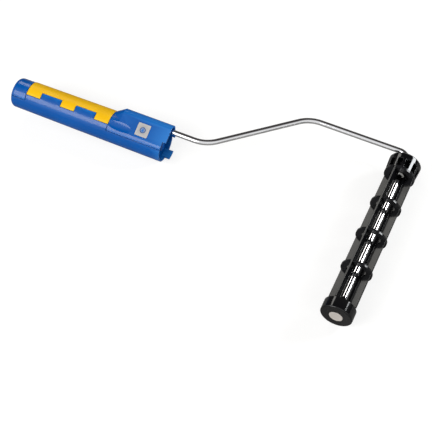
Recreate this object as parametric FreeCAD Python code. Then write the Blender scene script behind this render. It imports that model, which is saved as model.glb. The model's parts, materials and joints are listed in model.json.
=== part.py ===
"""Paint roller frame: two-shell handle with a soft inlay, bent steel arm and a spinning cage.

Millimetres. The origin is the mouth of the extension-pole socket, on the axis of the
handle. +X runs forward along the handle, the arm is bent in a plane parallel to XY and
the cage spins about an axis parallel to Y. The handle is modelled upright, with its
ridge along +Z, and then rolled about X by HANDLE_ROLL.
"""
import FreeCAD, Part
import math
import os

from FreeCAD import Placement, Rotation, Vector

os.makedirs("parts", exist_ok=True)

# ---- driving dimensions -------------------------------------------------------------
ROD_R = 4.0                 # 8 mm round steel
ROD_HEIGHT = 23.5           # rod axis above the handle axis, along the ridge
HANDLE_ROLL = 35.0          # lean of the ridge from +Z towards +Y, degrees
BEND_1_X = 298.5            # corner of the arm in front of the handle
BEND_2_X = 415.0            # corner of the arm where it runs forward again
CAGE_X = 565.0              # spin axis of the cage
CRANK = 103.0               # sideways step of the arm
ARM_BEND_R = 45.0           # bend radius of the two arm corners
AXLE_BEND_R = 14.0          # bend radius where the arm turns into the axle

GRIP_REAR_R = 21.8
GRIP_FRONT_R = 23.0
FRONT_R = 23.5              # round underside of the front section
REAR_ROUND = 6.0            # rounding of the rear edge
WALL = 2.4
CAP_LENGTH = 24.5           # rear cap of the upper shell, up to the inlay
INLAY_END = 157.0           # front edge of the inlay
RIDGE_FULL_X = 172.0        # the ridge has its full height from here
LOWER_END = 242.0           # front rim of the lower shell
NOSE_END = 247.0            # front face of the hood around the rod
RIDGE_R = 10.0              # rounding on top of the ridge
RIDGE_Z = 23.0              # centre of that rounding above the handle axis
FLANK_ANGLE = 58.0          # normal of the flat flanks, degrees from the ridge
RIDGE_BASE_R = 22.4         # hidden underside of the ridge, inside the round body
RAMP_X = 155.0              # the ridge rises out of the grip from here
RAMP_Z = 12.0
RAMP_BASE_R = 20.0
FLANK_FLAT_X = 176.0        # the flanks are flat from here
FLANK_RUNOUT = 60.0         # radius in which they curve out of the round body
HOOD_ANGLE = 59.0           # half-width of the hood, degrees from the ridge

INLAY_T = 3.0               # thickness of the soft inlay
TAB_HALF = 66.0             # half-width of the inlay at its tabs, degrees
NECK_HALF = 40.0            # half-width between the tabs, degrees
TAB_LENGTH = 22.0
TAB_COUNT = 3
SPINE_T = 2.4               # thickness of the upper shell under the inlay
GAP = 0.2                   # play between fixed plastic parts

SOCKET_R = 12.6             # bore for a 25 mm pole
SOCKET_LENGTH = 112.0
SOCKET_WALL = 2.3
SOCKET_END = 150.0
STOP_R = 10.5               # shoulder that stops the pole

CAGE_R = 22.0               # rings and fin tips
RING_PITCH = 55.5
RING_1_S = 42.5             # distances S run along the axle from the arm's last leg
RING_COUNT = 4
RING_T = 3.0
RING_INNER_R = 14.0
FIN_T = 2.2
FIN_INNER_R = 7.2
FIN_START_S = 41.0
FIN_END_S = 266.7
FIN_TURN = -23.5            # first fin, degrees from +Z towards +X
CROWN_R = 23.0
CROWN_BARS = 12
CROWN_END_S = 41.0
HUB_R = 7.0
BUSH_R = 5.6
RUNNING_GAP = 0.05          # radial play of the bushes on the axle
CAP_START_S = 267.0
CAP_END_S = 284.2
DISC_R = 9.4
ROD_TIP_S = 280.0
SCREW_R = 1.5
SCREW_HEAD_R = 2.8
SCREW_HEAD_H = 2.0
SLOT_L = 3.4                # cross recess in the screw heads
SLOT_W = 0.8
BEYOND = 60.0               # reaches past every surface of the handle
SHOULDER = 4.0              # steps that join the spine to the outer skin
SPINE_IN_R = 15.6           # underside of the spine
RIB_T = 3.0
ROD_START = 165.0           # tail of the rod inside the handle
ROD_RIBS = (204.0, 240.0)
PIN_RIB = (166.0, 174.0)    # thick rib over the cross pin
CRADLES = (30.0, 70.0, 110.0, 142.0)
BOSS_R = 3.0
BOSS_H = 9.0
SHELL_SCREWS = ((13.0, 17.0), (183.0, 18.4), (230.0, 18.4))   # (x, y), cage side only
SHELL_SCREW_UP = 8.0        # how far the screw holes reach into the upper shell
SHELL_HEAD_DEPTH = 6.0      # seat of the screw heads under the parting line
WELL_WALL = 1.2             # wall of the wells over the screw heads
SADDLE_X0 = 167.0
SADDLE_X1 = 236.0
SADDLE_Z0 = 17.0
SADDLE_CLEAR = 0.3          # from the inside of the shell
SADDLE_SINK = 2.4
SADDLE_SCREW_Y = 6.6
SADDLE_SCREW_X = (192.0, 226.0)
SADDLE_SCREW_TOP = 27.0
PIN_R = 1.5
PIN_LENGTH = 14.0
PIN_X = 170.0
INLAY_PROUD = 0.6
INLAY_EDGE = 0.6            # chamfer of the inlay's outer edges
GROOVE_W = 0.9              # shadow groove along the seams of the shells
GROOVE_DEEP = 1.3
LIP_ANGLE = 137.0           # middle of the front lip, degrees from the ridge to +Y
LIP_HALF = 18.0
LIP_T = 2.6
LIP_END = 249.0
LIP_ROOT = 6.0
SCOOP_X = 176.0             # thumb recess on the flank away from the cage
SCOOP_HALF = 17.0           # half of its length
SCOOP_DEEP = 1.2
SCOOP_R = 22.0              # radius across
SCOOP_SHIFT = -1.0          # along the flank, towards the ridge
BADGE = 19.0
BADGE_T = 1.2
BADGE_CORNER = 1.0
BADGE_X = 208.5
BADGE_SHIFT = 5.9           # along the flank, towards the ridge
EMBLEM_R = 4.4
EMBLEM_T = 0.6
DROP_H = 0.3
COLLAR_S = 16.8
COLLAR_T = 3.2
COLLAR_R = 6.4
WASHER_R = 7.4
AXIAL_PLAY = 0.3
INNER_FLANGE_S = 21.8
FLANGE_T = 1.4
FLANGE_R = 8.2
WEB_S = 23.2                # plate of the crown that carries its hub
WEB_END_S = 25.8
HUB_END_S = 40.0
TONGUE_X = ((60.0, 75.0), (112.0, 127.0), (190.0, 215.0))
TONGUE_T = 1.2
TONGUE_DEEP = 4.0
CROWN_FLOOR_R = 15.6
CROWN_FOOT_R = 21.7
CROWN_BORE_R = 13.4
CROWN_HOLE_R = 8.6          # hole around the axle
CROWN_FLAT_R = 12.0
CROWN_S = 13.0              # outer face of the crown
RIM_S = 18.4                # widest rim of the crown
RIM_T = 1.8
FOOT_T = 1.4
FIN_COUNT = 4
TIP_WASHER_T = 0.8
CLIP_T = 0.7
CLIP_EAR = 1.4
CLIP_SLITS = 6
SCREW_TIP_GAP = 0.5         # room past the tip of a screw
CROWN_BAR_W = 4.2
BAR_IN_R = 19.4
SKIRT_T = 2.2               # skirt that hangs from the rim of the dome
SKIRT_DRAFT = 0.4
SKIRT_END_S = 26.0
TENON_R = 13.3
TENON_S = 26.0
SLIT_R0 = 10.2
SLIT_R1 = 12.8
CAP_R = 22.1
CAP_EDGE = 2.2
CAP_CUP_R = 19.6
CAP_FACE_T = 3.2
CAP_TENON = 9.0
CAP_TENON_R = 10.2
OUTER_HUB_S = 256.0
OUTER_FLANGE_S = 275.4      # outer face of the outer bush's flange
CLIP_ROOM_R = 8.6
CUP_WALL = 1.0              # wall around the room of the clip
DISC_T = 1.4
DISC_PROUD = 0.4

X_AXIS = Vector(1, 0, 0)
Y_AXIS = Vector(0, 1, 0)
Z_AXIS = Vector(0, 0, 1)
ROLL = math.radians(HANDLE_ROLL)
WIRE_Y = ROD_HEIGHT * math.sin(ROLL)
WIRE_Z = ROD_HEIGHT * math.cos(ROLL)
LEG_Y = WIRE_Y + CRANK      # the arm's last leg, before it turns into the axle


# ---- helpers ------------------------------------------------------------------------
def rolled(shape):
    """Turn a part of the upright handle into its place."""
    out = shape.copy()
    out.rotate(Vector(0, 0, 0), X_AXIS, -HANDLE_ROLL)
    return out


def on_axle(shape):
    """Move a part made along +Z, with Z as the distance S, onto the axle."""
    out = shape.copy()
    turn = Rotation(X_AXIS, 90)
    out.Placement = Placement(Vector(CAGE_X, LEG_Y, WIRE_Z), turn).multiply(out.Placement)
    return out


def polar(radius, degrees):
    """A point (Y, Z) of the handle's section, measured from the ridge towards +Y."""
    a = math.radians(degrees)
    return radius * math.sin(a), radius * math.cos(a)


def turned(points, axis, axis_point=Vector(0, 0, 0)):
    """Solid of revolution of a closed outline of (X, Z) or (R, Z) points."""
    wire = Part.makePolygon([Vector(x, 0, z) for x, z in points + points[:1]])
    return Part.Face(wire).revolve(axis_point, axis, 360)


def tube(r_in, r_out, start, end):
    """Round tube along +Z."""
    outer = Part.makeCylinder(r_out, end - start, Vector(0, 0, start))
    return outer.cut(Part.makeCylinder(r_in, end - start, Vector(0, 0, start)))


def x_cylinder(radius, start, end, y=0.0, z=0.0):
    return Part.makeCylinder(radius, end - start, Vector(start, y, z), X_AXIS)


def box(x0, x1, y0, y1, z0, z1):
    return Part.makeBox(x1 - x0, y1 - y0, z1 - z0, Vector(x0, y0, z0))


def fused(shapes):
    return shapes[0].multiFuse(shapes[1:]).removeSplitter()


def save(name, shape):
    """Write one node after checking that it is made of valid closed solids."""
    if not shape.isValid() or not shape.Solids:
        raise RuntimeError(name + " is not a valid solid")
    if len(shape.Solids) == 1:
        shape = shape.Solids[0]
    shape.exportStep("parts/" + name + ".step")
    print("%-20s %d solid(s) %9.1f mm3" % (name, len(shape.Solids), shape.Volume))


# ---- outline of the handle ----------------------------------------------------------
def surface_r(x):
    """Radius of the round body at x."""
    if x < INLAY_END:
        return GRIP_REAR_R + (GRIP_FRONT_R - GRIP_REAR_R) * x / INLAY_END
    run = min(x, LOWER_END) - INLAY_END
    return GRIP_FRONT_R + (FRONT_R - GRIP_FRONT_R) * run / (LOWER_END - INLAY_END)


def barrel(inset, start, end):
    """A length of the round body, shrunk by inset."""
    stations = [start] + [x for x in (INLAY_END, LOWER_END) if start < x < end] + [end]
    rim = [(x, surface_r(x) - inset) for x in stations]
    return turned([(start, 0)] + rim + [(end, 0)], X_AXIS)


def body(inset, end):
    """The round body from its rear face on, with the rear edge rounded."""
    whole = barrel(inset, inset, end)
    rear = [e for e in whole.Edges if e.BoundBox.XMax < inset + 0.01 and e.BoundBox.YMax > 1]
    return whole.makeFillet(REAR_ROUND - inset, rear)


def flank_distance():
    """Distance of the flat flanks from the handle axis."""
    return RIDGE_Z * math.cos(math.radians(FLANK_ANGLE)) + RIDGE_R


def flank_cutter(inset, side):
    """Slab outside one flat flank; its rear end curves out of the round body."""
    start = FLANK_FLAT_X - FLANK_RUNOUT
    slab = box(start, NOSE_END + 2, -BEYOND, BEYOND, 0, FLANK_RUNOUT + 1)
    edge = [e for e in slab.Edges if e.BoundBox.XMax < start + 0.01 and e.BoundBox.ZMax < 0.01]
    slab = slab.makeFillet(FLANK_RUNOUT, edge)
    slab.translate(Vector(0, 0, flank_distance() - inset))
    slab.rotate(Vector(0, 0, 0), X_AXIS, -side * FLANK_ANGLE)
    return slab


def whole_handle(inset, end):
    """The outline of the handle: round body with flat flanks, and the ridge."""
    round_body = body(inset, end)
    for side in (-1, 1):
        round_body = round_body.cut(flank_cutter(inset, side))
    return round_body.fuse(ridge(inset, end)).removeSplitter()


def inside(inset):
    """The room inside the whole handle, and a bit beyond its nose."""
    return whole_handle(inset, NOSE_END + 1)


def ridge_section(x, ridge_z, ridge_r, base_r):
    """Section at x: rounded ridge, two flat flanks and a round underside."""
    flank = ridge_z * math.cos(math.radians(FLANK_ANGLE)) + ridge_r
    low = FLANK_ANGLE + math.degrees(math.acos(flank / base_r))
    y1, z1 = polar(ridge_r, FLANK_ANGLE)
    y2, z2 = polar(base_r, low)
    right_top = Vector(x, y1, ridge_z + z1)
    right_low = Vector(x, y2, z2)
    left_top = Vector(x, -y1, ridge_z + z1)
    left_low = Vector(x, -y2, z2)
    edges = [
        Part.Arc(left_top, Vector(x, 0, ridge_z + ridge_r), right_top).toShape(),
        Part.LineSegment(right_top, right_low).toShape(),
        Part.Arc(right_low, Vector(x, 0, -base_r), left_low).toShape(),
        Part.LineSegment(left_low, left_top).toShape(),
    ]
    return Part.Wire(edges)


def ridge(inset, end):
    """The ridge over the rod: a ramp from inside the grip, then a straight run."""
    sunk = ridge_section(RAMP_X, RAMP_Z, RIDGE_R - inset, RAMP_BASE_R - inset)
    full = ridge_section(RIDGE_FULL_X, RIDGE_Z, RIDGE_R - inset, RIDGE_BASE_R - inset)
    ramp = Part.makeLoft([sunk, full], True, True)
    run = Part.Face(full).extrude(Vector(end - RIDGE_FULL_X, 0, 0))
    return ramp.fuse(run)


def sector(x0, x1, half):
    """A wedge about X, half degrees to each side of the ridge, larger than the handle."""
    steps = 8
    rim = [polar(BEYOND, half * (2 * k / steps - 1)) for k in range(steps + 1)]
    points = [Vector(x0, y, z) for y, z in [(0, 0)] + rim + [(0, 0)]]
    return Part.Face(Part.makePolygon(points)).extrude(Vector(x1 - x0, 0, 0))


def inlay_zone(x0, x1, grow):
    """Wedges over the inlay: a neck with tabs on both sides, grown by a gap."""
    spread = math.degrees(grow / GRIP_FRONT_R)
    zone = [sector(x0 - grow, x1 + grow, NECK_HALF + spread)]
    pitch = (x1 - x0 - TAB_LENGTH) / (TAB_COUNT - 1)
    for k in range(TAB_COUNT):
        start = x0 + k * pitch
        zone.append(sector(start - grow, start + TAB_LENGTH + grow, TAB_HALF + spread))
    return fused(zone)


# ---- handle -------------------------------------------------------------------------
def above(x0, x1):
    return box(x0, x1, -BEYOND, BEYOND, 0, BEYOND)


def below(x0, x1):
    """Space under the parting plane, less half of the gap between the shells."""
    return box(x0, x1, -BEYOND, BEYOND, -BEYOND, -GAP / 4)


def rear_wall():
    return flat_disc(0, WALL, GRIP_REAR_R - REAR_ROUND, SOCKET_R + SOCKET_WALL)


def tongues():
    """Tongues of the upper shell that hook behind the wall of the lower shell."""
    pieces = []
    for x0, x1 in TONGUE_X:
        high = WALL + GAP
        ring = barrel(high, x0, x1).cut(barrel(high + TONGUE_T, x0 - 1, x1 + 1))
        pieces.append(ring.common(box(x0, x1, -BEYOND, 0, -TONGUE_DEEP, TONGUE_DEEP)))
    return pieces


def upper_shell(groove):
    """Rear cap, spine under the inlay and front section with its hood, in one piece."""
    shell = whole_handle(0, NOSE_END).cut(inside(WALL))
    shell = shell.common(above(0, NOSE_END))
    shell = shell.cut(above(CAP_LENGTH, INLAY_END + GAP))
    front = above(LOWER_END, NOSE_END + 1)
    shell = shell.cut(front.cut(sector(LOWER_END - 1, NOSE_END + 2, HOOD_ANGLE)))
    start, end = CAP_LENGTH - SHOULDER, INLAY_END + SHOULDER
    top = INLAY_T + GAP
    spine = barrel(top, start, end).cut(barrel(top + SPINE_T, start - 1, end + 1))
    pieces = [shell, spine.common(sector(start, end, TAB_HALF))]
    room = inside(WALL / 2)
    for x0, x1 in ((start, CAP_LENGTH), (INLAY_END + GAP, end)):
        step = barrel(WALL / 2, x0, x1).cut(x_cylinder(SPINE_IN_R, x0 - 1, x1 + 1))
        pieces.append(step.common(above(x0, x1)))
    for x0, x1 in [PIN_RIB] + [(x, x + RIB_T) for x in ROD_RIBS]:
        pieces.append(box(x0, x1, -BEYOND, BEYOND, ROD_HEIGHT, BEYOND).common(room))
    for x, y in SHELL_SCREWS:
        boss = Part.makeCylinder(BOSS_R, BOSS_H, Vector(x, y, 0), Z_AXIS)
        pieces.append(boss.common(room))
    for x, y in saddle_screw_places():
        boss = Part.makeCylinder(BOSS_R, BEYOND, Vector(x, y, ROD_HEIGHT), Z_AXIS)
        pieces.append(boss.common(room))
    pieces.append(rear_wall().common(above(0, WALL)))
    shell = fused(pieces)
    shell = shell.cut(x_cylinder(SOCKET_R + SOCKET_WALL + GAP / 4, -1, SOCKET_END))
    shell = shell.cut(x_cylinder(ROD_R, ROD_START - 1, NOSE_END + 1, 0, ROD_HEIGHT))
    shell = shell.cut(cross_pin())
    for x, y in SHELL_SCREWS:
        shell = shell.cut(Part.makeCylinder(SCREW_R, SHELL_SCREW_UP, Vector(x, y, 0), Z_AXIS))
    for x, y in saddle_screw_places():
        shell = shell.cut(Part.makeCylinder(SCREW_R, SADDLE_SCREW_TOP, Vector(x, y, 0), Z_AXIS))
    return shell.cut(badge_block(BADGE + 2 * GAP, BADGE_T, 1)).cut(thumb_scoop()).cut(groove)


def flat_disc(x0, x1, r_out, r_in):
    return x_cylinder(r_out, x0, x1).cut(x_cylinder(r_in, x0 - 1, x1 + 1))


def lower_shell(groove):
    """Trough of the handle: its walls rise between the tabs of the inlay."""
    shell = body(0, LOWER_END).cut(body(WALL, LOWER_END + 1)).common(below(0, LOWER_END))
    x0, x1 = CAP_LENGTH + GAP, INLAY_END
    walls = barrel(0, x0, x1).cut(barrel(WALL, x0 - 1, x1 + 1))
    walls = walls.common(box(x0, x1, -BEYOND, BEYOND, -WALL, BEYOND))
    pieces = [shell, walls.cut(inlay_zone(x0, x1, GAP))]
    for x in CRADLES:
        rib = barrel(WALL / 2, x, x + RIB_T).cut(x_cylinder(SOCKET_R, x - 1, x + RIB_T + 1))
        pieces.append(rib.common(below(x, x + RIB_T)))
    room = inside(WALL / 2)
    for x, y in SHELL_SCREWS:
        well = SCREW_HEAD_R + GAP + WELL_WALL
        boss = Part.makeCylinder(well, BEYOND, Vector(x, y, -BEYOND - GAP / 4), Z_AXIS)
        pieces.append(boss.common(room))
    pieces.append(rear_wall().common(below(0, WALL)))
    pieces.append(front_lip())
    shell = fused(pieces)
    shell = shell.cut(x_cylinder(SOCKET_R + SOCKET_WALL + GAP / 4, -1, SOCKET_END))
    for x, y in SHELL_SCREWS:
        shell = shell.cut(Part.makeCylinder(SCREW_R + GAP, BEYOND, Vector(x, y, -BEYOND), Z_AXIS))
        foot = Vector(x, y, -BEYOND - SHELL_HEAD_DEPTH)
        shell = shell.cut(Part.makeCylinder(SCREW_HEAD_R + GAP, BEYOND, foot, Z_AXIS))
    return shell.cut(groove)


def seam_groove():
    """Shallow groove along the seams between the two shells and the inlay."""
    half = GROOVE_W / 2
    sides = [
        box(-1, CAP_LENGTH, -BEYOND, BEYOND, -half, half),
        box(INLAY_END, LOWER_END + 1, -BEYOND, BEYOND, -half, half),
        above(CAP_LENGTH + GAP / 2 - half, CAP_LENGTH + GAP / 2 + half),
        above(INLAY_END + GAP / 2 - half, INLAY_END + GAP / 2 + half),
        inlay_zone(CAP_LENGTH + GAP, INLAY_END, GAP + half),
    ]
    rim = whole_handle(-1, NOSE_END + 1).cut(inside(GROOVE_DEEP))
    return fused([side.common(rim) for side in sides])


def front_lip():
    """Tongue that stands out of the lower rim on the cage side."""
    ring = flat_disc(LOWER_END - LIP_ROOT, LIP_END, FRONT_R, FRONT_R - LIP_T)
    wedge = sector(LOWER_END - LIP_ROOT, LIP_END, LIP_HALF)
    wedge.rotate(Vector(0, 0, 0), X_AXIS, -LIP_ANGLE)
    return ring.common(wedge)


def grip_inlay():
    """Soft inlay, a hair proud of the shells."""
    x0, x1 = CAP_LENGTH + GAP, INLAY_END
    layer = barrel(-INLAY_PROUD, x0, x1).cut(barrel(INLAY_T, x0 - 1, x1 + 1))
    inlay = layer.common(inlay_zone(x0, x1, 0))
    skin = GRIP_REAR_R + INLAY_PROUD - 0.01
    outer = [e for e in inlay.Edges if all(math.hypot(v.Y, v.Z) > skin for v in e.Vertexes)]
    return inlay.makeChamfer(INLAY_EDGE, outer)


def pole_sleeve():
    """Socket tube: a plain bore, then a shoulder that stops the pole."""
    r = SOCKET_R + SOCKET_WALL
    sleeve = x_cylinder(r, 0, SOCKET_END).cut(x_cylinder(SOCKET_R, -1, SOCKET_LENGTH))
    return sleeve.cut(x_cylinder(STOP_R, SOCKET_LENGTH - 1, SOCKET_END + 1))


def on_flank(shape, x, shift):
    """Place a shape made over XY on the flank away from the cage, shift towards the ridge."""
    y, z = polar(flank_distance(), -FLANK_ANGLE)
    along_y, along_z = polar(shift, 90 - FLANK_ANGLE)
    out = shape.copy()
    place = Placement(Vector(x, y + along_y, z + along_z), Rotation(X_AXIS, FLANK_ANGLE))
    out.Placement = place.multiply(out.Placement)
    return out


def badge_frame(shape):
    return on_flank(shape, BADGE_X, BADGE_SHIFT)


def thumb_scoop():
    """Barrel that scrapes the shallow thumb recess out of the flank."""
    arc_r = (SCOOP_HALF ** 2 + SCOOP_DEEP ** 2) / (2 * SCOOP_DEEP)
    half = SCOOP_HALF + 2
    end_r = SCOOP_R - (arc_r - math.sqrt(arc_r ** 2 - half ** 2))
    corners = [Vector(-half, 0, 0), Vector(-half, 0, end_r),
               Vector(half, 0, end_r), Vector(half, 0, 0)]
    edges = [
        Part.LineSegment(corners[0], corners[1]).toShape(),
        Part.Arc(corners[1], Vector(0, 0, SCOOP_R), corners[2]).toShape(),
        Part.LineSegment(corners[2], corners[3]).toShape(),
        Part.LineSegment(corners[3], corners[0]).toShape(),
    ]
    whole = Part.Face(Part.Wire(edges)).revolve(Vector(0, 0, 0), X_AXIS, 360)
    whole.translate(Vector(0, 0, SCOOP_R - SCOOP_DEEP))
    return on_flank(whole, SCOOP_X, SCOOP_SHIFT)


def badge_block(side, depth, above):
    block = Part.makeBox(side, side, depth + above, Vector(-side / 2, -side / 2, -depth))
    upright = [e for e in block.Edges if abs(e.tangentAt(e.FirstParameter).z) > 0.5]
    return badge_frame(block.makeFillet(BADGE_CORNER, upright))


def badge_plate():
    plate = badge_block(BADGE, BADGE_T - GAP / 2, 0)
    seat = Part.makeCylinder(EMBLEM_R + GAP / 4, EMBLEM_T, Vector(0, 0, -EMBLEM_T), Z_AXIS)
    return plate.cut(badge_frame(seat))


def badge_emblem():
    """Plain round emblem with a paint drop standing on it."""
    disc = Part.makeCylinder(EMBLEM_R, EMBLEM_T, Vector(0, 0, -EMBLEM_T), Z_AXIS)
    tip = Vector(0, EMBLEM_R * 0.62, 0)
    centre_y = -EMBLEM_R * 0.18
    r = EMBLEM_R * 0.4
    swing = math.acos(r / (tip.y - centre_y))
    side_x, side_y = r * math.sin(swing), centre_y + r * math.cos(swing)
    edges = [
        Part.LineSegment(tip, Vector(side_x, side_y, 0)).toShape(),
        Part.Arc(Vector(side_x, side_y, 0), Vector(0, centre_y - r, 0),
                 Vector(-side_x, side_y, 0)).toShape(),
        Part.LineSegment(Vector(-side_x, side_y, 0), tip).toShape(),
    ]
    drop = Part.Face(Part.Wire(edges)).extrude(Vector(0, 0, DROP_H))
    return badge_frame(disc.fuse(drop))


# ---- arm and its clamp --------------------------------------------------------------
def arm_rod():
    """One bent rod: held run, two corners, the last leg and the axle."""
    corners = [
        Vector(ROD_START, WIRE_Y, WIRE_Z),
        Vector(BEND_1_X, WIRE_Y, WIRE_Z),
        Vector(BEND_2_X, LEG_Y, WIRE_Z),
        Vector(CAGE_X, LEG_Y, WIRE_Z),
        Vector(CAGE_X, LEG_Y - ROD_TIP_S, WIRE_Z),
    ]
    radii = [ARM_BEND_R, ARM_BEND_R, AXLE_BEND_R]
    edges = []
    start = corners[0]
    for k, radius in enumerate(radii):
        corner = corners[k + 1]
        back = (corners[k] - corner).normalize()
        ahead = (corners[k + 2] - corner).normalize()
        half = back.getAngle(ahead) / 2
        reach = radius / math.tan(half)
        bisector = (back + ahead).normalize()
        middle = corner + bisector * (radius / math.sin(half) - radius)
        first, last = corner + back * reach, corner + ahead * reach
        edges.append(Part.LineSegment(start, first).toShape())
        edges.append(Part.Arc(first, middle, last).toShape())
        start = last
    edges.append(Part.LineSegment(start, corners[-1]).toShape())
    path = Part.Wire(edges)
    section = Part.Wire(Part.makeCircle(ROD_R, corners[0], X_AXIS))
    rod = path.makePipeShell([section], True, True)
    return rod.cut(rolled(cross_pin()))


def cross_pin():
    """Pin through the tail of the rod that keeps it from turning in the handle."""
    start = Vector(PIN_X, -PIN_LENGTH / 2, ROD_HEIGHT)
    return Part.makeCylinder(PIN_R, PIN_LENGTH, start, Y_AXIS)


def saddle_screw_places():
    return [(x, side * SADDLE_SCREW_Y) for x in SADDLE_SCREW_X for side in (-1, 1)]


def rod_saddle():
    """Block that presses the rod up against the ribs of the upper shell."""
    saddle = box(SADDLE_X0, SADDLE_X1, -BEYOND, BEYOND, SADDLE_Z0, ROD_HEIGHT - GAP)
    saddle = saddle.common(inside(WALL + SADDLE_CLEAR))
    saddle = saddle.cut(x_cylinder(ROD_R, SADDLE_X0 - 1, SADDLE_X1 + 1, 0, ROD_HEIGHT))
    saddle = saddle.cut(cross_pin())
    for x, y in saddle_screw_places():
        saddle = saddle.cut(Part.makeCylinder(SCREW_R + GAP, BEYOND, Vector(x, y, 0), Z_AXIS))
        head = Vector(x, y, SADDLE_Z0 - BEYOND + SADDLE_SINK)
        saddle = saddle.cut(Part.makeCylinder(SCREW_HEAD_R + GAP, BEYOND, head, Z_AXIS))
    return saddle


def screw(x, y, seat_z, length):
    """Pan-head screw, driven upwards: its head lies under seat_z."""
    head_z = seat_z - SCREW_HEAD_H
    whole = Part.makeCylinder(SCREW_R, length, Vector(x, y, seat_z), Z_AXIS)
    whole = whole.fuse(Part.makeCylinder(SCREW_HEAD_R, SCREW_HEAD_H, Vector(x, y, head_z), Z_AXIS))
    for half_x, half_y in ((SLOT_L / 2, SLOT_W / 2), (SLOT_W / 2, SLOT_L / 2)):
        slot = box(x - half_x, x + half_x, y - half_y, y + half_y, head_z, head_z + SCREW_HEAD_H / 2)
        whole = whole.cut(slot)
    return whole


def screws(places, seat_z, length):
    return Part.makeCompound([screw(x, y, seat_z, length) for x, y in places])


# ---- cage: every piece is made along +Z, which is the distance S along the axle ------
def axle_collar():
    """Collar crimped on the axle, which keeps the cage off the bend."""
    return tube(ROD_R, COLLAR_R, COLLAR_S, COLLAR_S + COLLAR_T)


def thrust_washer():
    start = COLLAR_S + COLLAR_T
    return tube(ROD_R + RUNNING_GAP, WASHER_R, start, INNER_FLANGE_S - AXIAL_PLAY)


def bush(start, end, flange_start):
    """Plain bush with a flange at one end."""
    bore = ROD_R + RUNNING_GAP
    flange = tube(bore, FLANGE_R, flange_start, flange_start + FLANGE_T)
    return tube(bore, BUSH_R, start, end).fuse(flange).removeSplitter()


def outlined(nodes):
    """Solid of revolution about Z. A node (r, s) is a corner; a pair of nodes is an arc to
    the second one through the first."""
    edges = []
    last = Vector(nodes[-1][0], 0, nodes[-1][1])
    for node in nodes:
        if len(node) == 2:
            point = Vector(node[0], 0, node[1])
            edges.append(Part.LineSegment(last, point).toShape())
        else:
            point = Vector(node[2], 0, node[3])
            edges.append(Part.Arc(last, Vector(node[0], 0, node[1]), point).toShape())
        last = point
    return Part.Face(Part.Wire(edges)).revolve(Vector(0, 0, 0), Z_AXIS, 360)


def face_fins(shape):
    """Turn the core so that its first fin points FIN_TURN from +Z to +X."""
    out = shape.copy()
    out.rotate(Vector(0, 0, 0), Z_AXIS, 90 - FIN_TURN)
    return out


def crown():
    """Open end piece at the arm side: a dome with a skirt, twelve bars that join it to a foot
    ring, and in the middle a sleeve with the hub for the inner bush."""
    shell = outlined([
        (CROWN_HOLE_R, CROWN_S + 0.2),
        (CROWN_FLAT_R, CROWN_S),
        (19.2, CROWN_S + 1.8, CROWN_R, RIM_S),
        (CROWN_R, RIM_S + RIM_T),
        (CROWN_R - SKIRT_DRAFT, SKIRT_END_S),
        (CROWN_R - SKIRT_T, SKIRT_END_S),
        (CROWN_R - SKIRT_T, RIM_S + RIM_T + 1),
        (CROWN_FLOOR_R, RIM_S + RIM_T + 0.5),
        (CROWN_FLOOR_R, CROWN_END_S - FOOT_T),
        (CROWN_FOOT_R, CROWN_END_S - FOOT_T),
        (CROWN_FOOT_R, CROWN_END_S),
        (CROWN_BORE_R, CROWN_END_S),
        (CROWN_BORE_R, WEB_END_S),
        (HUB_R, WEB_END_S),
        (HUB_R, HUB_END_S),
        (BUSH_R, HUB_END_S),
        (BUSH_R, WEB_S),
        (CROWN_BORE_R, WEB_S),
        (CROWN_BORE_R, RIM_S + 0.6),
        (CROWN_HOLE_R, CROWN_S + 3.2),
    ])
    top = RIM_S + RIM_T
    envelope = turned([(BAR_IN_R, top), (CROWN_R, top), (CROWN_R - SKIRT_DRAFT, SKIRT_END_S),
                       (CROWN_FOOT_R, CROWN_END_S), (BAR_IN_R, CROWN_END_S)], Z_AXIS)
    bars = []
    for k in range(CROWN_BARS):
        bar = box(0, CROWN_R + 1, -CROWN_BAR_W / 2, CROWN_BAR_W / 2, top + 1, CROWN_END_S - 0.5)
        bar.rotate(Vector(0, 0, 0), Z_AXIS, k * 360 / CROWN_BARS)
        bars.append(bar.common(envelope))
    return fused([shell] + bars)


def fin_box(r0, r1, start, end):
    return box(r0, r1, -FIN_T / 2, FIN_T / 2, start, end)


def cage_core():
    """Four rings joined by four slotted fins, open in the middle."""
    ring_s = [RING_1_S + k * RING_PITCH for k in range(RING_COUNT)]
    blade = fused([
        fin_box(FIN_INNER_R, CAGE_R, FIN_START_S, FIN_END_S),
        fin_box(FIN_INNER_R, TENON_R, TENON_S, FIN_START_S),
        fin_box(CAP_TENON_R, CAP_CUP_R - GAP, FIN_END_S, FIN_END_S + CAP_TENON),
    ])
    for s, last in zip(ring_s, ring_s[1:] + [FIN_END_S]):
        for start, end in ((s + 3.5, s + 10.5), (s + 14.0, last - 3.0)):
            blade = blade.cut(box(SLIT_R0, SLIT_R1, -FIN_T, FIN_T, start, end))
    pieces = []
    for k in range(FIN_COUNT):
        fin = blade.copy()
        fin.rotate(Vector(0, 0, 0), Z_AXIS, k * 360 / FIN_COUNT)
        pieces.append(fin)
    pieces += [tube(RING_INNER_R, CAGE_R, s - RING_T / 2, s + RING_T / 2) for s in ring_s]
    return face_fins(fused(pieces))


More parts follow.
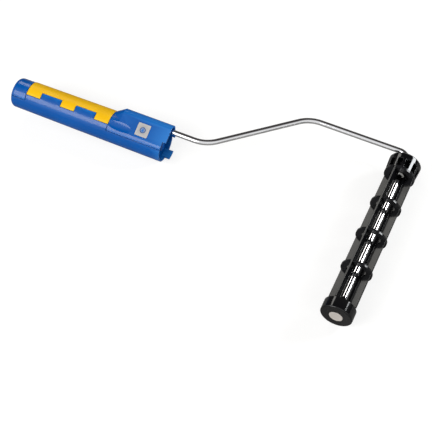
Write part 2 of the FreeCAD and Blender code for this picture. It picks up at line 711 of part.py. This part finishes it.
def end_cap():
    """Cup over the free end of the fins, with the hub for the outer bush."""
    r = CAP_EDGE
    k = r * (1 - math.sqrt(0.5))
    floor = OUTER_FLANGE_S - FLANGE_T
    seat = CAP_END_S - DISC_T
    return outlined([
        (CAP_CUP_R, CAP_START_S),
        (CAP_R - 1, CAP_START_S),
        (CAP_R, CAP_START_S + 1),
        (CAP_R, CAP_END_S - r),
        (CAP_R - k, CAP_END_S - k, CAP_R - r, CAP_END_S),
        (DISC_R + GAP / 2, CAP_END_S),
        (DISC_R + GAP / 2, seat),
        (CLIP_ROOM_R, seat),
        (CLIP_ROOM_R, floor),
        (BUSH_R, floor),
        (BUSH_R, OUTER_HUB_S),
        (HUB_R, OUTER_HUB_S),
        (HUB_R, CAP_START_S),
        (CLIP_ROOM_R + CUP_WALL, floor - 1),
        (CLIP_ROOM_R + CUP_WALL, CAP_END_S - CAP_FACE_T),
        (CAP_CUP_R, CAP_END_S - CAP_FACE_T),
    ])


def end_disc():
    """Light disc that closes the bearing in the end cap."""
    top = CAP_END_S + DISC_PROUD
    return turned([(0, CAP_END_S - DISC_T), (DISC_R, CAP_END_S - DISC_T), (DISC_R, CAP_END_S),
                   (DISC_R - DISC_PROUD, top), (0, top)], Z_AXIS)


def tip_washer():
    start = OUTER_FLANGE_S + AXIAL_PLAY
    return tube(ROD_R + RUNNING_GAP, WASHER_R, start, start + TIP_WASHER_T)


def axle_clip():
    """Push-on clip that holds the cage on the axle; slits part its ears."""
    start = OUTER_FLANGE_S + AXIAL_PLAY + TIP_WASHER_T
    clip = tube(ROD_R, WASHER_R, start, start + CLIP_T)
    clip = clip.fuse(tube(ROD_R, ROD_R + CLIP_EAR, start + CLIP_T, start + 2 * CLIP_T))
    for k in range(CLIP_SLITS):
        slit = box(0, ROD_R + CLIP_EAR, -SLOT_W / 2, SLOT_W / 2, start - 1, start + 3 * CLIP_T)
        slit.rotate(Vector(0, 0, 0), Z_AXIS, k * 360 / CLIP_SLITS)
        clip = clip.cut(slit)
    return clip.removeSplitter()


# ---- the nodes ----------------------------------------------------------------------
seams = seam_groove()
save("upper_shell", rolled(upper_shell(seams)))
save("lower_shell", rolled(lower_shell(seams)))
save("grip_inlay", rolled(grip_inlay()))
save("pole_sleeve", rolled(pole_sleeve()))
save("badge_plate", rolled(badge_plate()))
save("badge_emblem", rolled(badge_emblem()))
save("rod_saddle", rolled(rod_saddle()))
save("rod_cross_pin", rolled(cross_pin()))
saddle_seat = SADDLE_Z0 + SADDLE_SINK
saddle_reach = SADDLE_SCREW_TOP - SCREW_TIP_GAP - saddle_seat
save("saddle_screws", rolled(screws(saddle_screw_places(), saddle_seat, saddle_reach)))
shell_reach = SHELL_HEAD_DEPTH + SHELL_SCREW_UP - SCREW_TIP_GAP
save("shell_screws", rolled(screws(SHELL_SCREWS, -SHELL_HEAD_DEPTH, shell_reach)))
save("arm_rod", arm_rod())
save("axle_collar", on_axle(axle_collar()))
save("thrust_washer", on_axle(thrust_washer()))
save("crown", on_axle(crown()))
save("inner_bush", on_axle(bush(INNER_FLANGE_S, HUB_END_S, INNER_FLANGE_S)))
save("cage_core", on_axle(cage_core()))
save("end_cap", on_axle(end_cap()))
save("outer_bush", on_axle(bush(OUTER_HUB_S, OUTER_FLANGE_S, OUTER_FLANGE_S - FLANGE_T)))
save("tip_washer", on_axle(tip_washer()))
save("axle_clip", on_axle(axle_clip()))
save("end_disc", on_axle(end_disc()))
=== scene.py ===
"""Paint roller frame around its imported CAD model: metres, in the frame of the CAD."""
import json
import math

import bpy
from mathutils import Matrix, Vector


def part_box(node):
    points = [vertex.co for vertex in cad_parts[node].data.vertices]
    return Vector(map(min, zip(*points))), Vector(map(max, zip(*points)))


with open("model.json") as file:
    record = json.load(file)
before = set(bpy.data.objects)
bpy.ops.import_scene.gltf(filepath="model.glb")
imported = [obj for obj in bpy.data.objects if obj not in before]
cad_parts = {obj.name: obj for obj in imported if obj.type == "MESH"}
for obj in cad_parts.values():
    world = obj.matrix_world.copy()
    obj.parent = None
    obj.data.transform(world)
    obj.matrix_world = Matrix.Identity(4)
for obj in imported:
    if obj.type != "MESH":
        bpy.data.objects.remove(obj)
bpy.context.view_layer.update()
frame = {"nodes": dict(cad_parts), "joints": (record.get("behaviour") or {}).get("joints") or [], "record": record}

# ---- places taken from the CAD ------------------------------------------------------
SPIN = frame["joints"][0]["pos_m"]
AXLE = Vector((SPIN[0], 0.0, SPIN[2]))          # a point of the spin axis, which runs along Y
crown_low, crown_high = (Vector(c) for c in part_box("crown"))
shell_low, shell_high = (Vector(c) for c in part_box("lower_shell"))
cap_low, cap_high = (Vector(c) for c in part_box("end_cap"))

# ---- camera, floor and studio -------------------------------------------------------
AZIMUTH = math.radians(24.07)
ELEVATION = math.radians(56.34)
ROLL = math.radians(0.41)
DISTANCE = 1.6293
LENS_MM = 99.8
SENSOR_MM = 36.0
AIM_FROM_AXLE = Vector((-0.203, -0.0645, 0))
AIM_LEFT = 0.01077              # moves the aim point in the picture plane
AIM_DOWN = 0.01985

FLOOR_HALF = 4.0
FLOOR_GAP = 0.0002              # clearance between the object and the floor
HANDLE_REST_INSET = 0.007       # the handle rests this far behind its front end
FLOOR_COLOUR = (0.31, 0.305, 0.295, 1)
FLOOR_LIFT = 0.74               # glow that only the camera sees: white floor, unlit object

DARK_FROM, PALE_FROM = 0.10, -0.30              # Y of the direction looked in
PALE_WALL = (0.90, 0.90, 0.91, 1)
DARK_WALL = (0.06, 0.055, 0.055, 1)

# ---- surfaces -----------------------------------------------------------------------
EDGE_R = 0.0005                 # softened edges of moulded and cut parts
EDGE_SAMPLES = 6
GRAIN_SCALE, GRAIN_DEPTH = 2600.0, 0.00004      # moulded texture
WAVE_SCALE, WAVE_STRENGTH, WAVE_DEPTH = 90.0, 0.08, 0.0004      # uneven moulded faces
DRAWN_SCALE, DRAWN_DEPTH = 900.0, 0.00003       # fine texture of metal
DULL_METAL = 0.86               # darkest clouding of metal, as a share of its colour
WORN_FROM, WORN_FULL = 0.53, 0.62               # pointiness of rubbed edges

FLANK_LEAN = math.radians(23)   # lean of the badge's flank from level
RING_R, RING_BLUR = 0.0031, 0.0002              # inside of the printed ring
DROP_RISE, DROP_BLUR = 0.0003, 0.00002          # height from which the raised drop is blue


# ---- camera -------------------------------------------------------------------------
def add_camera():
    """Camera on a sphere around the aim point: azimuth, elevation, roll and distance."""
    away = Vector((math.sin(AZIMUTH) * math.cos(ELEVATION),
                   -math.cos(AZIMUTH) * math.cos(ELEVATION), math.sin(ELEVATION)))
    right = Vector((math.cos(AZIMUTH), math.sin(AZIMUTH), 0))
    up = away.cross(right)
    aim = AXLE + AIM_FROM_AXLE - AIM_LEFT * right - AIM_DOWN * up
    turned_right = math.cos(ROLL) * right + math.sin(ROLL) * up
    turned_up = math.cos(ROLL) * up - math.sin(ROLL) * right
    data = bpy.data.cameras.new("camera")
    data.lens = LENS_MM
    data.sensor_width = SENSOR_MM
    camera = bpy.data.objects.new("camera", data)
    axes = Matrix((turned_right, turned_up, away)).transposed()
    camera.matrix_world = Matrix.Translation(aim + DISTANCE * away) @ axes.to_4x4()
    bpy.context.scene.collection.objects.link(camera)
    bpy.context.scene.camera = camera


# ---- floor and light ----------------------------------------------------------------
def node_material(name):
    material = bpy.data.materials.new(name)
    material.use_nodes = True
    return material, material.node_tree, material.node_tree.nodes["Principled BSDF"]


def add_floor():
    """Pale floor through the three places the roller frame lies on."""
    under_crown = Vector((AXLE.x, 0.5 * (crown_low.y + crown_high.y), crown_low.z))
    under_cap = Vector((AXLE.x, 0.5 * (cap_low.y + cap_high.y), cap_low.z))
    under_handle = Vector((shell_high.x - HANDLE_REST_INSET, 0, shell_low.z))
    normal = (under_cap - under_handle).cross(under_crown - under_handle).normalized()
    if normal.z < 0:
        normal = -normal
    along = Vector((0, 1, 0)).cross(normal).normalized()
    across = normal.cross(along)
    corners = [(-FLOOR_HALF, -FLOOR_HALF), (FLOOR_HALF, -FLOOR_HALF),
               (FLOOR_HALF, FLOOR_HALF), (-FLOOR_HALF, FLOOR_HALF)]
    centre = under_handle - FLOOR_GAP * normal
    mesh = bpy.data.meshes.new("floor")
    mesh.from_pydata([centre + a * along + b * across for a, b in corners], [], [(0, 1, 2, 3)])
    floor = bpy.data.objects.new("floor", mesh)
    bpy.context.scene.collection.objects.link(floor)
    material, tree, shader = node_material("floor")
    shader.inputs["Base Color"].default_value = FLOOR_COLOUR
    shader.inputs["Roughness"].default_value = 0.8
    shader.inputs["Specular IOR Level"].default_value = 0.0
    shader.inputs["Emission Color"].default_value = (1, 1, 1, 1)
    camera_ray = tree.nodes.new("ShaderNodeLightPath").outputs["Is Camera Ray"]
    lift = tree.nodes.new("ShaderNodeMath")
    lift.operation = "MULTIPLY"
    lift.inputs[1].default_value = FLOOR_LIFT
    tree.links.new(camera_ray, lift.inputs[0])
    tree.links.new(lift.outputs[0], shader.inputs["Emission Strength"])
    mesh.materials.append(material)


def add_light(name, place, target, size, power, colour):
    data = bpy.data.lights.new(name, "AREA")
    data.shape = "RECTANGLE"
    data.size, data.size_y = size
    data.energy = power
    data.color = colour
    light = bpy.data.objects.new(name, data)
    light.location = place
    light.rotation_euler = (Vector(target) - Vector(place)).to_track_quat("-Z", "Y").to_euler()
    bpy.context.scene.collection.objects.link(light)


def add_world():
    """Studio surroundings: pale on the side of the badge (-Y), dark on the far side (+Y)."""
    world = bpy.data.worlds.new("studio")
    bpy.context.scene.world = world
    world.use_nodes = True
    tree = world.node_tree
    place = tree.nodes.new("ShaderNodeTexCoord")
    split = tree.nodes.new("ShaderNodeSeparateXYZ")
    spread = tree.nodes.new("ShaderNodeMapRange")
    spread.inputs["From Min"].default_value = PALE_FROM
    spread.inputs["From Max"].default_value = DARK_FROM
    ramp = tree.nodes.new("ShaderNodeValToRGB")
    ramp.color_ramp.elements[0].color = PALE_WALL
    ramp.color_ramp.elements[1].color = DARK_WALL
    tree.links.new(place.outputs["Generated"], split.inputs[0])
    tree.links.new(split.outputs["Y"], spread.inputs["Value"])
    tree.links.new(spread.outputs[0], ramp.inputs[0])
    background = tree.nodes["Background"]
    tree.links.new(ramp.outputs[0], background.inputs["Color"])
    background.inputs["Strength"].default_value = 1.0


add_camera()
add_floor()
add_world()
add_light("front_box", place=(-0.41, -0.98, 0.90), target=(0.1, 0.0, 0.02),
          size=(1.1, 0.7), power=13.5, colour=(0.98, 0.99, 1.0))
add_light("right_box", place=(1.45, 0.77, 0.68), target=(0.565, 0.05, 0.02),
          size=(0.45, 0.45), power=16, colour=(0.95, 0.98, 1.0))
add_light("left_box", place=(-0.47, 0.75, 0.77), target=(0.45, -0.04, 0.02),
          size=(0.4, 0.4), power=2.4, colour=(1.0, 0.98, 0.93))
bpy.context.scene.view_settings.view_transform = "Standard"


# ---- materials ----------------------------------------------------------------------
class Nodes:
    """Small helper around a material's node tree."""

    def __init__(self, name):
        self.material, self.tree, self.shader = node_material(name)
        self.place = self.add("ShaderNodeTexCoord").outputs["Object"]

    def add(self, kind, **values):
        node = self.tree.nodes.new(kind)
        for key, value in values.items():
            setattr(node, key, value)
        return node

    def link(self, source, target):
        self.tree.links.new(source, target)

    def noise(self, scale, detail, stretch=(1, 1, 1)):
        mapping = self.add("ShaderNodeMapping")
        mapping.inputs["Scale"].default_value = stretch
        self.link(self.place, mapping.inputs[0])
        noise = self.add("ShaderNodeTexNoise")
        noise.inputs["Scale"].default_value = scale
        noise.inputs["Detail"].default_value = detail
        self.link(mapping.outputs[0], noise.inputs["Vector"])
        return noise.outputs["Fac"]

    def ramp(self, source, start, end):
        """Grey ramp between two stops: (position, value)."""
        ramp = self.add("ShaderNodeValToRGB")
        for element, (position, value) in zip(ramp.color_ramp.elements, (start, end)):
            element.position = position
            element.color = (value, value, value, 1)
        self.link(source, ramp.inputs[0])
        return ramp.outputs[0]

    def step(self, source, edge, width):
        """0 below the edge and 1 above it."""
        ramp = self.add("ShaderNodeMapRange")
        ramp.inputs["From Min"].default_value = edge - width
        ramp.inputs["From Max"].default_value = edge + width
        self.link(source, ramp.inputs["Value"])
        return ramp.outputs[0]

    def mix(self, factor, first, second):
        """Blend by a factor socket of two colours, each a socket or red, green and blue."""
        mix = self.add("ShaderNodeMix", data_type="RGBA")
        factor_in, first_in, second_in = (mix.inputs[i] for i in (0, 6, 7))
        self.link(factor, factor_in)
        for socket, colour in ((first_in, first), (second_in, second)):
            if isinstance(colour, tuple):
                socket.default_value = (*colour, 1)
            else:
                self.link(colour, socket)
        return mix.outputs[2]

    def bump(self, *heights):
        """Stack of bumps over softened edges: (height socket, strength, distance)."""
        bevel = self.add("ShaderNodeBevel", samples=EDGE_SAMPLES)
        bevel.inputs["Radius"].default_value = EDGE_R
        normal = bevel.outputs[0]
        for height, strength, distance in heights:
            bump = self.add("ShaderNodeBump")
            bump.inputs["Strength"].default_value = strength
            bump.inputs["Distance"].default_value = distance
            self.link(height, bump.inputs["Height"])
            self.link(normal, bump.inputs["Normal"])
            normal = bump.outputs[0]
        self.link(normal, self.shader.inputs["Normal"])

    def grain(self, strength):
        """Bump of the fine moulded texture."""
        return self.noise(GRAIN_SCALE, 2.0), strength, GRAIN_DEPTH

    def worn_edges(self):
        """Mask of the edges and corners that hands and tables rub."""
        pointy = self.add("ShaderNodeNewGeometry").outputs["Pointiness"]
        return self.ramp(pointy, (WORN_FROM, 0.0), (WORN_FULL, 1.0))


def plastic(name, base, deep, worn, roughness, grain, gloss=0.5):
    """Moulded plastic: cloudy pigment, fine texture, rubbed edges and handling marks."""
    n = Nodes(name)
    cloud = n.ramp(n.noise(22.0, 4.0), (0.35, 0.0), (0.65, 1.0))
    colour = n.mix(cloud, base, deep)
    colour = n.mix(n.worn_edges(), colour, worn)
    n.link(colour, n.shader.inputs["Base Color"])
    smudge = n.noise(60.0, 5.0, stretch=(0.4, 1, 1))
    n.link(n.ramp(smudge, (0.3, roughness * 0.85), (0.7, roughness * 1.25)),
           n.shader.inputs["Roughness"])
    n.bump(n.grain(grain), (n.noise(WAVE_SCALE, 2.0), WAVE_STRENGTH, WAVE_DEPTH))
    n.shader.inputs["Specular IOR Level"].default_value = gloss
    return n.material


def metal(name, base, roughness, drawn):
    """Bright metal: slight clouding, uneven polish and a fine surface texture."""
    n = Nodes(name)
    n.shader.inputs["Metallic"].default_value = 1.0
    cloud = n.noise(35.0, 4.0)
    dull = tuple(DULL_METAL * v for v in base)
    n.link(n.mix(cloud, base, dull), n.shader.inputs["Base Color"])
    lines = n.noise(DRAWN_SCALE, 2.0)
    n.link(n.ramp(lines, (0.3, roughness * 0.7), (0.7, roughness * 1.4)),
           n.shader.inputs["Roughness"])
    n.bump((lines, drawn, DRAWN_DEPTH))
    return n.material


def printed_emblem():
    """Plain round mark: a dark ring on a pale ground, with the raised drop in blue."""
    n = Nodes("emblem")
    normal = Vector((0, -math.sin(FLANK_LEAN), math.cos(FLANK_LEAN)))
    mark_low, mark_high = (Vector(c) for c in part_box("badge_emblem"))
    away = n.add("ShaderNodeVectorMath", operation="SUBTRACT")
    n.link(n.place, away.inputs[0])
    away.inputs[1].default_value = 0.5 * (mark_low + mark_high)
    radius = n.add("ShaderNodeVectorMath", operation="LENGTH")
    n.link(away.outputs[0], radius.inputs[0])
    height = n.add("ShaderNodeVectorMath", operation="DOT_PRODUCT")
    n.link(away.outputs[0], height.inputs[0])
    height.inputs[1].default_value = normal
    in_ring = n.step(radius.outputs["Value"], RING_R, RING_BLUR)
    on_drop = n.step(height.outputs["Value"], DROP_RISE, DROP_BLUR)
    cloud = n.noise(300.0, 3.0)
    ground = n.mix(cloud, (0.50, 0.47, 0.45), (0.40, 0.38, 0.36))
    ring = n.mix(cloud, (0.012, 0.016, 0.03), (0.03, 0.035, 0.05))
    drop = n.mix(cloud, (0.02, 0.17, 0.52), (0.015, 0.13, 0.42))
    colour = n.mix(on_drop, n.mix(in_ring, ground, ring), drop)
    n.link(colour, n.shader.inputs["Base Color"])
    n.link(n.ramp(cloud, (0.3, 0.3), (0.7, 0.42)), n.shader.inputs["Roughness"])
    n.bump(n.grain(0.2))
    return n.material


BLACKS = {"base": (0.003, 0.003, 0.0035), "deep": (0.004, 0.004, 0.005),
          "worn": (0.012, 0.012, 0.013)}

FINISH = {
    "blue_plastic": plastic(
        "blue_plastic", base=(0.0, 0.086, 0.36), deep=(0.0, 0.077, 0.33),
        worn=(0.02, 0.17, 0.52), roughness=0.17, grain=0.25, gloss=0.34),
    "soft_yellow": plastic(
        "soft_yellow", base=(0.86, 0.49, 0.001), deep=(0.82, 0.455, 0.001),
        worn=(0.90, 0.55, 0.01), roughness=0.42, grain=0.8, gloss=0.22),
    "black_plastic": plastic(
        "black_plastic", **BLACKS, roughness=0.12, grain=0.08, gloss=0.20),
    "pale_disc": plastic(
        "pale_disc", base=(0.68, 0.62, 0.57), deep=(0.40, 0.36, 0.33),
        worn=(0.76, 0.72, 0.67), roughness=0.5, grain=0.6),
    "plate": plastic(
        "plate", base=(0.37, 0.355, 0.345), deep=(0.33, 0.315, 0.305),
        worn=(0.50, 0.48, 0.46), roughness=0.35, grain=0.3),
    "emblem": printed_emblem(),
    "inner_plastic": plastic(
        "inner_plastic", base=(0.02, 0.022, 0.027), deep=(0.016, 0.018, 0.02),
        worn=(0.05, 0.05, 0.055), roughness=0.5, grain=0.5),
    "bearing_plastic": plastic(
        "bearing_plastic", base=(0.6, 0.6, 0.55), deep=(0.55, 0.55, 0.5),
        worn=(0.7, 0.7, 0.66), roughness=0.4, grain=0.2),
    "bright_rod": metal("bright_rod", base=(0.86, 0.86, 0.87), roughness=0.10, drawn=0.0),
    "zinc_steel": metal("zinc_steel", base=(0.62, 0.63, 0.65), roughness=0.3, drawn=0.3),
}
GLOSS_BLACK = plastic("gloss_black", **BLACKS, roughness=0.09, grain=0.05, gloss=0.38)
GLOSSIER = ("crown", "end_cap")

for part in frame["record"]["subparts"]:
    obj = frame["nodes"][part["node"]]
    material = GLOSS_BLACK if part["node"] in GLOSSIER else FINISH[part["material_slot"]]
    for place in obj.material_slots:
        place.material = material
